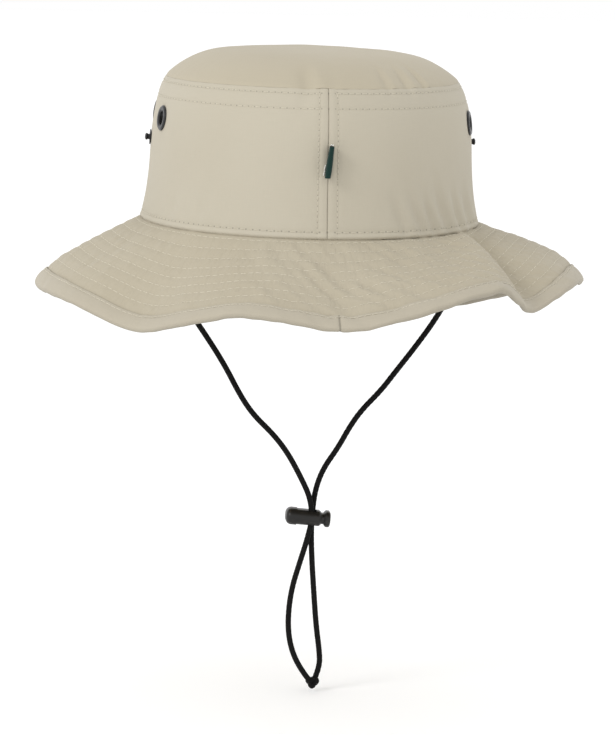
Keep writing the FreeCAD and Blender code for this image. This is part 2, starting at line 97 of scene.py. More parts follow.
def makeCamera():
    turn, rise = radians(view["turn"]), radians(view["rise"])
    place = Vector((sin(turn) * cos(rise), -cos(turn) * cos(rise), sin(rise)))
    place *= view["distance"]
    data = bpy.data.cameras.new("camera")
    data.lens = view["lens"]
    data.sensor_width = 36.0
    data.clip_start = 0.05
    eye = bpy.data.objects.new("camera", data)
    look = (Vector(view["aim"]) - place).to_track_quat("-Z", "Y").to_matrix().to_4x4()
    eye.matrix_world = Matrix.Translation(place) @ look @ Matrix.Rotation(radians(view["roll"]), 4, "Z")
    scene.collection.objects.link(eye)
    scene.camera = eye


makeCamera()
print("camera placed")


# Shader maths: arithmetic on a wrapped socket adds Math nodes

class Sum:
    def __init__(self, paint, socket):
        self.paint, self.socket = paint, socket

    def maths(self, operation, *others):
        return self.paint.node("ShaderNodeMath", {"operation": operation}, [self, *others])

    def behind(self, operation, other):
        return self.paint.node("ShaderNodeMath", {"operation": operation}, [other, self])

    def __add__(self, other):
        return self.maths("ADD", other)

    def __sub__(self, other):
        return self.maths("SUBTRACT", other)

    def __rsub__(self, other):
        return self.behind("SUBTRACT", other)

    def __mul__(self, other):
        return self.maths("MULTIPLY", other)

    def __truediv__(self, other):
        return self.maths("DIVIDE", other)

    def __rtruediv__(self, other):
        return self.behind("DIVIDE", other)

    __radd__, __rmul__ = __add__, __mul__


class Paint:
    def __init__(self, name):
        self.material = bpy.data.materials.new(name)
        self.material.use_nodes = True
        self.tree = self.material.node_tree
        self.shader = self.tree.nodes["Principled BSDF"]

    def feed(self, socket, value):
        if isinstance(value, Sum):
            self.tree.links.new(value.socket, socket)
        else:
            socket.default_value = value

    def node(self, kind, settings, values, output=0):
        item = self.tree.nodes.new(kind)
        for name, value in settings.items():
            setattr(item, name, value)
        pairs = values.items() if isinstance(values, dict) else enumerate(values)
        for name, value in pairs:
            self.feed(item.inputs[name], value)
        return Sum(self, item.outputs[output])

    def blendColors(self, amount, first, second):
        return self.node("ShaderNodeMix", {"data_type": "RGBA"}, {0: amount, 6: first, 7: second}, 2)

    def tintBy(self, color, amount):
        color = color if isinstance(color, Sum) else color[:3]
        return self.node("ShaderNodeVectorMath", {"operation": "SCALE"}, {0: color, "Scale": amount})

    def place(self):
        return self.node("ShaderNodeTexCoord", {}, {}, 3)

    def flat(self):
        # Places on the flat cloth, in millimetres
        uv = self.node("ShaderNodeUVMap", {"uv_map": "cloth"}, {})
        u = self.node("ShaderNodeSeparateXYZ", {}, {0: uv})
        return uv, u, Sum(self, u.socket.node.outputs[1])

    def cloudy(self, where, scale, detail=2.0):
        return self.node("ShaderNodeTexNoise", {}, {"Vector": where, "Scale": scale, "Detail": detail})

    def streaks(self, uv, scale, detail=2.0):
        return self.cloudy(self.node("ShaderNodeMapping", {}, {0: uv, 3: scale}), 1.0, detail)

    def relief(self, height, strength, distance, normal=None):
        values = {"Height": height, "Strength": strength, "Distance": distance}
        if normal is not None:
            values["Normal"] = normal
        return self.node("ShaderNodeBump", {}, values)

    def set(self, values):
        for name, value in values.items():
            self.feed(self.shader.inputs[name], value)


def rgb(red, green, blue):
    return (red, green, blue, 1.0)


# Light and floor

studio = {
    "sky": 1.0, "floorWide": 9.0, "floorGap": 1.5 * mm, "floorColor": (0.95, 0.95, 0.95),
    "lamps": {
        "key": {"power": 24.0, "place": (-2.2, -1.5, 1.5), "across": 0.9},
        "fill": {"power": 3.0, "place": (1.2, -2.6, 0.6), "across": 1.4},
    },
}


def makeStudio():
    world = bpy.data.worlds.new("studio")
    world.use_nodes = True
    sky = world.node_tree.nodes["Background"]
    sky.inputs["Color"].default_value = rgb(1, 1, 1)
    sky.inputs["Strength"].default_value = studio["sky"]
    scene.world = world
    scene.view_settings.view_transform = "Standard"
    for name, look in studio["lamps"].items():
        data = bpy.data.lights.new(name, "AREA")
        data.energy = look["power"]
        data.size = look["across"]
        lamp = bpy.data.objects.new(name, data)
        lamp.location = look["place"]
        lamp.rotation_euler = (-Vector(look["place"])).to_track_quat("-Z", "Y").to_euler()
        scene.collection.objects.link(lamp)
    low, wide = cadBox[0][2] - studio["floorGap"], studio["floorWide"]
    mesh = bpy.data.meshes.new("floor")
    corners = [(-wide, -wide, low), (wide, -wide, low), (wide, wide, low), (-wide, wide, low)]
    mesh.from_pydata(corners, [], [(0, 1, 2, 3)])
    ground = bpy.data.objects.new("floor", mesh)
    scene.collection.objects.link(ground)
    paint = Paint("studio_floor")
    paint.set({
        "Base Color": rgb(*studio["floorColor"]), "Roughness": 0.9,
        "Emission Color": rgb(1, 1, 1), "Emission Strength": 0.12,
    })
    mesh.materials.append(paint.material)


makeStudio()
print("studio lit")


# Finishes

def makeCloth(name, look, shadeMarks=()):
    # Woven cloth: the marks passed in are painted shade: dark dots at the needle holes of sewn rows, or a
    # dark line where a row has no pitch
    paint = Paint(name)
    uv, u, v = paint.flat()
    where = paint.place()
    clouds = paint.cloudy(where, 22.0)
    color = paint.blendColors(clouds, rgb(*look["color"]), rgb(*look["shade"]))
    turn = tau / look["thread"]
    if look.get("twill"):
        weave = ((u + v * 1.2) * turn).maths("SINE")
    else:
        weave = (u * turn).maths("SINE") * (v * turn).maths("SINE")
    slubs = paint.streaks(uv, (2.2, 0.12, 1.0)) + paint.streaks(uv, (0.12, 2.2, 1.0)) - 1.0
    tone = 1.0 + slubs * look["slub"] + weave * look["grain"]
    for row in shadeMarks:
        along, across = (v, u) if row.get("upright") else (u, v)
        off = across - row["at"]
        if "pitch" in row:
            pitch = row["pitch"]
            step = (along / pitch + 0.5).maths("FRACT") * pitch - pitch / 2
            away = (step * step + off * off).maths("SQRT")
        else:
            away = off.maths("ABSOLUTE")
        # Painted shade: each mark darkens the cloth's colour
        pit = (1.0 - away / row["size"]).maths("MAXIMUM", 0.0).maths("MINIMUM", 0.6)
        tone = tone - pit * row["dark"]
    height = weave * 0.5 + slubs * 0.8
    bump = paint.relief(height, look["relief"], 0.06 * mm)
    creases = paint.cloudy(where, 95.0, 3.0)
    bump = paint.relief(creases, look["crease"], 0.5 * mm, bump)
    if "pucker" in look:
        gathers = paint.streaks(uv, (0.30, 0.10, 1.0), 3.0)
        bump = paint.relief(gathers, look["pucker"], 1.2 * mm, bump)
    paint.set({
        "Base Color": paint.tintBy(color, tone), "Roughness": look["rough"] + slubs * 0.1, "Normal": bump,
        "Specular IOR Level": 0.25, "Sheen Weight": 0.12, "Sheen Roughness": 0.5,
    })
    return paint.material


khaki = {
    "color": (0.475, 0.437, 0.352), "shade": (0.448, 0.408, 0.322), "thread": 0.62,
    "slub": 0.05, "grain": 0.012, "relief": 0.35, "crease": 0.12, "rough": 0.86,
}
topSeam = 72 * mm
rowsLook = {"base": 3.2, "low": 62.4, "high": 69.7, "beside": 4.7, "pitch": 3.55, "uprightPitch": 2.6}
# Painted shade at the needle holes of the crown's rows, round it and upright beside the seams: dark dots a
# pitch apart
crownHoleShade = [
    {"at": rowsLook[row], "pitch": rowsLook["pitch"], "size": size, "dark": dark}
    for row, size, dark in (("base", 0.55, 0.65), ("low", 0.5, 0.55), ("high", 0.5, 0.55))
] + [
    {"at": at, "pitch": rowsLook["uprightPitch"], "size": 0.45, "dark": 0.5, "upright": True}
    for at in (-rowsLook["beside"], rowsLook["beside"])
]
crownCloth = makeCloth("crown_cloth", khaki, crownHoleShade)
tapeCloth = makeCloth("seam_tape", khaki | {"thread": 1.1, "twill": True, "relief": 0.7, "grain": 0.03})


# A khaki cloth in other colours: its own dye, and for the brim's underside also painted shade
def dyeAndShadeCloth(name, color, shade, shadeMarks=(), **more):
    return makeCloth(name, khaki | {"color": color, "shade": shade} | more, shadeMarks)


topCloth = dyeAndShadeCloth("crown_top_cloth", (0.455, 0.409, 0.313), (0.43, 0.382, 0.286))
# The brim cloth has a painted shadow line 54.35 mm down, in the groove inside the binding's fold
brimCloth = dyeAndShadeCloth(
    "brim_cloth", (0.452, 0.408, 0.315), (0.405, 0.358, 0.266),
    [{"at": 54.35, "size": 0.65, "dark": 0.4}], pucker=0.75,
)
# The underside's darker, browner colour is painted shade under the brim
undersideCloth = dyeAndShadeCloth("brim_underside", (0.43, 0.37, 0.27), (0.40, 0.34, 0.245), pucker=0.5)
# The binding has painted shade: a dark line in the pinched groove at its join, and a broad darkening over its
# section's edge and underside
bindingCloth = dyeAndShadeCloth(
    "binding_cloth", (0.442, 0.402, 0.32), (0.416, 0.374, 0.293),
    [{"at": 0.0, "size": 0.6, "dark": 0.6, "upright": True}, {"at": 12.6, "size": 6.0, "dark": 0.62}],
    thread=0.9, twill=True, relief=0.4,
)
bandCloth = dyeAndShadeCloth("sweatband_cloth", (0.40, 0.36, 0.275), (0.37, 0.33, 0.25), thread=0.8)
liningCloth = dyeAndShadeCloth("interlining", (0.7, 0.69, 0.65), (0.66, 0.65, 0.61), thread=1.2)
labelCloth = dyeAndShadeCloth("label_cloth", (0.74, 0.73, 0.69), (0.7, 0.69, 0.65), thread=0.5)
ribbonCloth = dyeAndShadeCloth(
    "tab_ribbon", (0.0035, 0.028, 0.022), (0.0025, 0.021, 0.017), thread=1.0, relief=0.9, grain=0.25,
)


def makeThread(name, color):
    paint = Paint(name)
    twist = paint.cloudy(paint.place(), 1500.0)
    paint.set({
        "Base Color": paint.tintBy(rgb(*color), 0.85 + twist * 0.3), "Roughness": 0.62,
        "Normal": paint.relief(twist, 0.5, 0.05 * mm),
    })
    return paint.material


seamThread = makeThread("seam_thread", (0.62, 0.58, 0.47))
crownThread = makeThread("crown_thread", (0.55, 0.51, 0.41))
whiteThread = makeThread("tab_thread", (0.85, 0.84, 0.80))


def makeEnamel(name, color, rough, bare):
    # Dark enamel, rubbed a little towards brown metal: bare is how far at most
    paint = Paint(name)
    where = paint.place()
    rub = ((paint.cloudy(where, 420.0, 4.0) - 0.62).maths("MAXIMUM", 0.0) * 5.0).maths("MINIMUM", bare)
    speckle = paint.cloudy(where, 1800.0)
    paint.set({
        "Base Color": paint.blendColors(rub, rgb(*color), rgb(0.16, 0.13, 0.09)),
        "Roughness": rough + speckle * 0.15 + rub * 0.2, "Metallic": 0.25 + rub * 0.6,
        "Normal": paint.relief(speckle, 0.12, 0.05 * mm), "Coat Roughness": 0.25,
    })
    return paint.material


eyeletEnamel = makeEnamel("eyelet_enamel", (0.017, 0.017, 0.018), 0.24, 0.12)
washerEnamel = makeEnamel("washer_enamel", (0.022, 0.021, 0.02), 0.32, 0.25)
snapEnamel = makeEnamel("snap_enamel", (0.013, 0.013, 0.014), 0.3, 0.1)


def makePlastic():
    paint = Paint("toggle_plastic")
    where = paint.place()
    fine, handled = paint.cloudy(where, 2600.0, 3.0), paint.cloudy(where, 160.0, 3.0)
    paint.set({
        "Base Color": paint.blendColors(handled, rgb(0.006, 0.0055, 0.005), rgb(0.012, 0.011, 0.01)),
        "Roughness": 0.26 + handled * 0.16, "Normal": paint.relief(fine, 0.1, 0.04 * mm),
        "Specular IOR Level": 0.35,
    })
    return paint.material


def makeSpringSteel():
    paint = Paint("spring_wire")
    drawn = paint.cloudy(paint.place(), 900.0, 3.0)
    paint.set({
        "Base Color": paint.blendColors(drawn, rgb(0.5, 0.5, 0.51), rgb(0.6, 0.59, 0.58)),
        "Metallic": 1.0, "Roughness": 0.25 + drawn * 0.15,
    })
    return paint.material


braidLook = {"color": (0.0058, 0.0056, 0.0056), "strand": 0.42}


def makeBraid():
    paint = Paint("cord_braid")
    uv, u, v = paint.flat()
    pace = tau / braidLook["strand"]
    strands = ((u + v) * pace).maths("SINE") + ((u - v) * pace).maths("SINE")
    fuzz = paint.cloudy(paint.place(), 1500.0, 3.0)
    paint.set({
        "Base Color": paint.tintBy(rgb(*braidLook["color"]), 0.8 + fuzz * 0.5 + strands * 0.08),
        "Roughness": 0.7 + fuzz * 0.2, "Normal": paint.relief(strands * 0.4 + fuzz, 0.5, 0.06 * mm),
        "Sheen Weight": 0.03, "Sheen Roughness": 0.4, "Specular IOR Level": 0.12,
    })
    return paint.material


togglePlastic = makePlastic()
springSteel = makeSpringSteel()
braid = makeBraid()
print("finishes made")


# Mesh helpers

def addPiece(name, verts, faces, flats, finish, crease=60):
    mesh = bpy.data.meshes.new(name)
    mesh.from_pydata(verts, [], faces)
    if flats:
        layer = mesh.uv_layers.new(name="cloth")
        layer.data.foreach_set("uv", [c for loop in mesh.loops for c in flats[loop.vertex_index]])
    mesh.polygons.foreach_set("use_smooth", [True] * len(mesh.polygons))
    mesh.set_sharp_from_angle(angle=radians(crease))
    mesh.materials.append(finish)
    mesh.update()
    item = bpy.data.objects.new(name, mesh)
    scene.collection.objects.link(item)
    return item


def clothPiece(name, turns, rows, faceAt, flatAt, thick, finish, hole=None):
    # A layer of cloth: faceAt gives a point and the way out of the cloth,
    # flatAt its place before sewing in millimetres
    spots = [faceAt(turn, row) for turn in turns for row in rows]
    flats = [flatAt(turn, row) for turn in turns for row in rows]
    deep, total = len(rows), len(spots)
    verts = [point for point, out in spots] + [point - out * thick for point, out in spots]
    tops = []
    for i in range(len(turns) - 1):
        for j in range(deep - 1):
            cell = (i * deep + j, (i + 1) * deep + j, (i + 1) * deep + j + 1, i * deep + j + 1)
            if hole is None or not hole(sum((verts[c] for c in cell), Vector()) / 4):
                tops.append(cell)
    a, b, c, d = tops[0]
    if (verts[b] - verts[a]).cross(verts[d] - verts[a]).dot(spots[a][1]) < 0:
        tops = [cell[::-1] for cell in tops]
    sides = {(cell[k], cell[(k + 1) % 4]) for cell in tops for k in range(4)}
    faces = tops + [tuple(c + total for c in cell[::-1]) for cell in tops]
    faces += [(b, a, a + total, b + total) for a, b in sorted(sides) if (b, a) not in sides]
    used = sorted({c for face in faces for c in face})
    spot = {old: new for new, old in enumerate(used)}
    faces = [tuple(spot[c] for c in face) for face in faces]
    return addPiece(name, [verts[c] for c in used], faces, [flats[c % total] for c in used], finish)


def tubeFaces(rings, sides, start=0):
    # Faces between rings of points, with a cap at each end
    faces = []
    for at in range(start, start + (rings - 1) * sides, sides):
        for n in range(sides):
            m = (n + 1) % sides
            faces.append((at + n, at + m, at + sides + m, at + sides + n))
    faces.append(tuple(start + n for n in range(sides))[::-1])
    faces.append(tuple(start + (rings - 1) * sides + n for n in range(sides)))
    return faces


def sweepPiece(name, sections, flatsAcross, flatsAlong, finish, crease=60):
    # A closed outline carried along: every section has the same number of points
    count = len(sections[0])
    verts = [point for section in sections for point in section]
    faces = tubeFaces(len(sections), count)
    flats = [(along, across) for along in flatsAlong for across in flatsAcross]
    middle = sum(sections[0], Vector()) / count
    ahead = sum(sections[1], Vector()) / count - middle
    spin = sum(((a - middle).cross(b - middle) for a, b in zip(sections[0], sections[0][1:])), Vector())
    if spin.dot(ahead) < 0:
        faces = [face[::-1] for face in faces]
    return addPiece(name, verts, faces, flats, finish, crease)


stitchLook = {"sides": 5, "shares": (0.0, 0.14, 0.5, 0.86, 1.0), "lifts": (-0.9, 0.75, 1.0, 0.75, -0.9)}


class Sewing:
    # Stitches gathered into one piece: short bent threads that dive into the cloth at both ends
    def __init__(self, radius, rise):
        self.radius, self.rise, self.verts, self.faces = radius, rise, [], []

    def stitch(self, spots):
        sides = stitchLook["sides"]
        start = len(self.verts)
        for k, ((point, out), lift) in enumerate(zip(spots, stitchLook["lifts"])):
            before, after = spots[max(k - 1, 0)][0], spots[min(k + 1, len(spots) - 1)][0]
            ahead = (after - before).normalized()
            wide = ahead.cross(out).normalized()
            middle = point + out * (self.rise * lift)
            for n in range(sides):
                turn = tau * n / sides
                self.verts.append(middle + (wide * cos(turn) + out * sin(turn)) * self.radius)
        self.faces += tubeFaces(len(spots), sides, start)

    def row(self, faceAt, marks, share):
        # One stitch from mark to mark, over a share of the way
        for first, last in zip(marks, marks[1:]):
            slack = (last - first) * (1 - share) / 2
            first, last = first + slack, last - slack
            self.stitch([faceAt(first + (last - first) * f) for f in stitchLook["shares"]])

    def done(self, name, finish):
        return addPiece(name, self.verts, self.faces, [], finish, 80)


def reachOf(points):
    # How far along a line each of its points is
    reach = [0.0]
    for a, b in zip(points, points[1:]):
        reach.append(reach[-1] + (b - a).length)
    return reach


def evenMarks(faceAt, first, last, pitch, step):
    # Values from first to last that lie a pitch apart along the cloth
    values = spaced(first, last, step)
    reach = reachOf([faceAt(value)[0] for value in values])
    marks = []
    for k in range(int(reach[-1] / pitch) + 1):
        i = min(bisect_right(reach, k * pitch), len(values) - 1)
        part = (k * pitch - reach[i - 1]) / (reach[i] - reach[i - 1])
        marks.append(values[i - 1] + (values[i] - values[i - 1]) * part)
    return marks


# Chin cord, in two strands through the toggle down to the knot

cordLook = {"diameter": 3.0 * mm, "braid": 5.2 * mm, "sides": 24, "step": 0.5 * mm, "groove": 0.072}
toggleLevel = -0.1556
leftRoute = [
    (-0.081, 0, -0.003), (-0.081, 0, -0.013), (-0.075, -0.0004, -0.027), (-0.066, -0.0008, -0.041),
    (-0.0545, -0.0012, -0.057), (-0.0425, -0.0014, -0.075), (-0.0335, -0.0016, -0.092),
    (-0.0265, -0.0016, -0.102), (-0.016, -0.0016, -0.112), (-0.0085, -0.0016, -0.1215),
    (-0.0015, -0.0016, -0.134), (0.0038, -0.0016, -0.145), (0.0051, -0.0016, -0.156),
    (0.0028, -0.0016, -0.1665), (-0.0006, -0.0016, -0.178), (-0.0052, -0.0016, -0.194),
    (-0.0066, -0.0016, -0.211), (-0.0048, -0.0016, -0.224), (0.0002, -0.0016, -0.235),
    (0.005, -0.0016, -0.241),
]
rightRoute = [
    (0.081, 0, -0.003), (0.081, 0, -0.014), (0.0785, 0.0003, -0.027), (0.074, 0.0007, -0.038),
    (0.0665, 0.0011, -0.052), (0.056, 0.0014, -0.067), (0.0465, 0.0016, -0.0795), (0.0395, 0.0016, -0.089),
    (0.0295, 0.0016, -0.0995), (0.0235, 0.0016, -0.1085), (0.018, 0.0016, -0.119), (0.0105, 0.0016, -0.130),
    (0.0066, 0.0016, -0.141), (0.0054, 0.0016, -0.152), (0.0049, 0.0016, -0.163), (0.0056, 0.0016, -0.178),
    (0.007, 0.0016, -0.195), (0.0086, 0.0016, -0.213), (0.0107, 0.0016, -0.227), (0.011, 0.0016, -0.235),
    (0.0085, 0.0016, -0.2415),
]


def lineOf(route):
    # The points along a smooth line drawn from a route's control points
    data = bpy.data.curves.new("line", "CURVE")
    data.dimensions = "3D"
    data.resolution_u = 24
    spline = data.splines.new("NURBS")
    spline.points.add(len(route) - 1)
    for point, place in zip(spline.points, route):
        point.co = (*place, 1.0)
    spline.order_u = 3
    spline.use_endpoint_u = True
    item = bpy.data.objects.new("line", data)
    scene.collection.objects.link(item)
    bpy.context.view_layer.update()
    mesh = bpy.data.meshes.new_from_object(item.evaluated_get(bpy.context.evaluated_depsgraph_get()))
    points = [v.co.copy() for v in mesh.vertices]
    bpy.data.objects.remove(item)
    bpy.data.meshes.remove(mesh)
    return points


def evenLine(points, step):
    reach = reachOf(points)
    count = max(2, round(reach[-1] / step))
    line = []
    for k in range(count + 1):
        at = reach[-1] * k / count
        i = min(max(bisect_right(reach, at), 1), len(points) - 1)
        part = (at - reach[i - 1]) / max(reach[i] - reach[i - 1], 1e-9)
        line.append(points[i - 1].lerp(points[i], part))
    return line


def braidedTube(name, points, radius, finish, closed=False):
    line = evenLine(points, cordLook["step"])
    sides = cordLook["sides"]
    ahead = (line[1] - line[0]).normalized()
    wide = ahead.orthogonal().normalized()
    verts, flats, reach = [], [], 0.0
    for k, point in enumerate(line):
        before, after = line[max(k - 1, 0)], line[min(k + 1, len(line) - 1)]
        if closed:
            before, after = line[(k - 1) % (len(line) - 1)], line[(k + 1) % (len(line) - 1)]
        ahead = (after - before).normalized()
        wide = (wide - ahead * wide.dot(ahead)).normalized()
        deep = ahead.cross(wide)
        reach += (point - line[k - 1]).length if k else 0.0
        for n in range(sides):
            turn = tau * n / sides
            wave = tau * reach / cordLook["braid"]
            over = max(sin(4 * turn + wave * 2), sin(4 * turn - wave * 2))
            size = radius * (1 - cordLook["groove"] * (1 - over))
            verts.append(point + (wide * cos(turn) + deep * sin(turn)) * size)
            flats.append((reach * 1000, turn * radius * 1000))
    return addPiece(name, verts, tubeFaces(len(line), sides), flats, finish, 80)


def splitLine(points, height):
    cut = next(k for k, point in enumerate(points) if point.z < height)
    part = (points[cut - 1].z - height) / (points[cut - 1].z - points[cut].z)
    middle = points[cut - 1].lerp(points[cut], part)
    return points[:cut] + [middle], [middle] + points[cut:]


knotLook = {
    "middle": Vector((0.0072, 0, -0.2428)), "lobe": 0.80 * mm, "depth": 1.25 * mm, "squat": 0.9,
    "radius": 1.42 * mm, "points": 90,
}


def makeKnot():
    # Both strands' ends tied in one small tight knot
    lobe = knotLook["lobe"]
    loop = []
    for k in range(knotLook["points"]):
        t = tau * k / knotLook["points"]
        loop.append(knotLook["middle"] + Vector((
            (sin(t) + 2 * sin(2 * t)) * lobe, -sin(3 * t) * knotLook["depth"],
            (cos(t) - 2 * cos(2 * t)) * lobe * knotLook["squat"],
        )))
    knot = braidedTube("knot_turns", loop + loop[:1], knotLook["radius"], braid, closed=True)
    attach(knot, "hat")
    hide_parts("cord_knot")
    return knot


def makeCords():
    knot = makeKnot()
    for side, route, upperLength, lowerLength in (
        ("left", leftRoute, 0.178, 0.088), ("right", rightRoute, 0.171, 0.0875),
    ):
        upper, lower = splitLine(lineOf(route), toggleLevel)
        strand = braidedTube(f"cord_{side}_strand", upper, cordLook["diameter"] / 2, braid)
        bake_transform(strand)
        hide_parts(f"chin_cord_{side}")
        loop = braidedTube(f"cord_{side}_loop", lower, cordLook["diameter"] / 2, braid)
        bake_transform(loop)
        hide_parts(f"chin_cord_{side}")
        print(side, "cord", *(round(reachOf(line)[-1], 4) for line in (upper, lower)))


makeCords()
print("cords made")


# Crown

crown = {
    "waist": 81.3 * mm, "flare": 5.5 * mm, "flareReach": 17 * mm, "shoulder": 6.8 * mm,
    "lengthening": 17.5 * mm, "cloth": 0.8 * mm, "domeRise": 14.8 * mm, "turnStep": 0.75,
    "rowStep": 1.05 * mm, "eyelet": (28 * mm, 52 * mm), "eyeletHole": 5.0 * mm, "stud": (0.0, 40.5 * mm),
    "girthLevel": 40 * mm, "wave": 1.1 * mm, "ripple": 0.35 * mm, "gather": 0.22 * mm, "rowDip": 0.32 * mm,
    "seamGap": 0.05, "stitchEnd": 1.2, "topReach": 96.0,
}


def halfWidth(height):
    flare = crown["flare"] * exp(-height / crown["flareReach"])
    return crown["waist"] + flare - crown["shoulder"] * (max(height, 0.0) / topSeam) ** 6


def oval(turn, across, height):
    # A point of the oval with this half width, and the level way out of it
    turn, along = radians(turn), across + crown["lengthening"]
    out = Vector((along * sin(turn), -across * cos(turn), 0)).normalized()
    return Vector((across * sin(turn), -along * cos(turn), height)), out


def outline(turn, height):
    point, out = oval(turn, halfWidth(height), height)
    step = 0.5 * mm
    out.z = (halfWidth(height - step) - halfWidth(height + step)) / (2 * step)
    return point, out.normalized()


# Distance along the cloth by direction, in millimetres, for every half degree
girth = [0.0]
for halfDegree in range(720):
    here, there = (outline(turn, crown["girthLevel"])[0] for turn in (halfDegree / 2, halfDegree / 2 + 0.5))
    girth.append(girth[-1] + 1000 * (there - here).length)


def clothAlong(turn):
    # Millimetres along the cloth from the back seam to a direction in degrees
    whole = floor(turn / 360)
    turn = (turn - 360 * whole) * 2
    k = min(int(turn), 719)
    return whole * girth[-1] + girth[k] + (girth[k + 1] - girth[k]) * (turn - k)


def turnAt(along):
    # The other way round
    whole = floor(along / girth[-1])
    along -= whole * girth[-1]
    k = min(max(bisect_right(girth, along) - 1, 0), 719)
    return 360 * whole + (k + (along - girth[k]) / (girth[k + 1] - girth[k])) / 2


def fittings():
    # Where the eyelets and studs sit in the crown
    spots = []
    for side in (-1, 1):
        for forward, height in ((-crown["eyelet"][0], crown["eyelet"][1]), crown["eyelet"], crown["stud"]):
            across = halfWidth(height)
            along = across + crown["lengthening"]
            x = side * across * sqrt(1 - (forward / along) ** 2)
            spots.append(Vector((x, forward, height)))
    return spots


fitted = fittings()


def calm(point, reach=11 * mm):
    # 0 beside an eyelet or a stud, so that the cloth lies flat under it, and 1 away from them
    near = min((point - spot).length for spot in fitted)
    return 1 - bell(near, 0, reach)


# Soft dents: direction, height, half width in degrees, half height, depth, lean in degrees per metre
crownDents = [
    (-8.0, 70 * mm, 3.2, 9 * mm, 0.9 * mm, 120),
    (24.0, 73 * mm, 1.6, 5 * mm, 0.5 * mm, 0),
    (33.0, 73 * mm, 1.8, 6 * mm, 0.7 * mm, -100),
    (42.0, 73 * mm, 1.5, 5 * mm, 0.6 * mm, -60),
    (26.0, 8 * mm, 2.0, 9 * mm, 1.0 * mm, -220),
    (33.0, 9 * mm, 1.8, 8 * mm, 1.0 * mm, -260),
    (39.0, 8 * mm, 1.7, 9 * mm, 1.2 * mm, -200),
    (46.0, 10 * mm, 2.4, 11 * mm, 1.25 * mm, -240),
    (55.0, 8 * mm, 2.0, 9 * mm, 1.1 * mm, -200),
    (64.0, 9 * mm, 3.0, 9 * mm, 1.1 * mm, -160),
    (-46.0, 7 * mm, 3.0, 7 * mm, 0.45 * mm, 160),
    (-60.0, 8 * mm, 2.2, 6 * mm, 0.4 * mm, 140),
    (128.0, 8 * mm, 2.6, 9 * mm, 0.8 * mm, 160),
    (150.0, 9 * mm, 2.2, 8 * mm, 0.6 * mm, 120),
    (-132.0, 8 * mm, 2.6, 9 * mm, 0.8 * mm, -160),
    (-155.0, 70 * mm, 3.0, 9 * mm, 0.8 * mm, 60),
]


def dented(away, wide):
    # A dent's section, with a low swell on both sides of it
    return bell(away, 0, wide) - 0.45 * bell(away, wide * 1.7, wide)


def crownLift(turn, height):
    along = clothAlong(turn) * mm
    lift = crown["wave"] * noiseAt(along * 13, height * 15, 3.1)
    lift += crown["ripple"] * noiseAt(along * 45, height * 32, 8.7)
    lift *= min(1.0, max(0.0, (topSeam - height) / (14 * mm)) + 0.06)
    for middle, level, wide, tall, depth, lean in crownDents:
        away = (turn - middle - lean * (height - level) + 180) % 360 - 180
        if level < 60 * mm:
            depth, tall = depth * 1.35, tall * 1.25
        if abs(away) < 3 * wide and abs(height - level) < 3 * tall:
            lift -= depth * dented(away, wide) * bell(height, level, tall)
    gather = exp(-height / (9 * mm)) + 0.6 * exp(-(topSeam - height) / (5 * mm))
    lift += crown["gather"] * gather * noiseAt(along * 190, height * 40, 1.3)
    for row in ("base", "low", "high"):
        lift -= crown["rowDip"] * bell(height, rowsLook[row] * mm, 1.1 * mm)
    return lift


def besideSeam(turn):
    # Signed distance from the nearer of the back and front seams
    turn = (turn + 90) % 180 - 90
    return clothAlong(turn) * mm


def crownFace(turn, height):
    # The crown's side, with the back and front seams, the rows beside them and the seams above and below
    point, out = outline(turn, height)
    lift = crownLift(turn, height) * calm(point) - 0.1 * mm
    off = besideSeam(turn)
    lift -= 0.25 * mm * bell(abs(off), rowsLook["beside"] * mm, 0.9 * mm)
    lift += 0.25 * mm * bell(abs(off), 2.3 * mm, 1.6 * mm)
    lift -= 0.3 * mm * bell(off, 0, 0.3 * mm)
    lift -= 1.1 * mm * bell(height, -0.2 * mm, 0.6 * mm) + 0.4 * mm * bell(height, topSeam, 0.7 * mm)
    return point + out * lift, out


def crownFlat(turn, height):
    return clothAlong(turn), height * 1000


def throughEyelet(point):
    return any((point - spot).length < crown["eyeletHole"] for spot in fitted if abs(spot.y) > mm)


def sidePanel(side, name):
    # Finer steps beside the seams and along the sewn rows
    low = crown["seamGap"] - (0 if side > 0 else 180)
    high = low + 180 - 2 * crown["seamGap"]
    edges = [0.0, 0.25, 0.5, 0.75, 1.05, 1.4, 1.85, 2.4]
    turns = sorted({
        *(low + e for e in edges), *(high - e for e in edges), *spaced(low + 3, high - 3, crown["turnStep"]),
    })
    rows = sorted({
        *(k * 0.4 * mm for k in range(12)), *spaced(5.4 * mm, 63 * mm, crown["rowStep"]),
        *(63.5 * mm + k * 0.5 * mm for k in range(17)), 71.95 * mm,
    })
    panel = clothPiece(name, turns, rows, crownFace, crownFlat, crown["cloth"], crownCloth, throughEyelet)
    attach(panel, "hat")
    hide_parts(f"crown_side_panel_{name.split('_')[-1]}")


sidePanel(-1, "crown_panel_left")
sidePanel(1, "crown_panel_right")


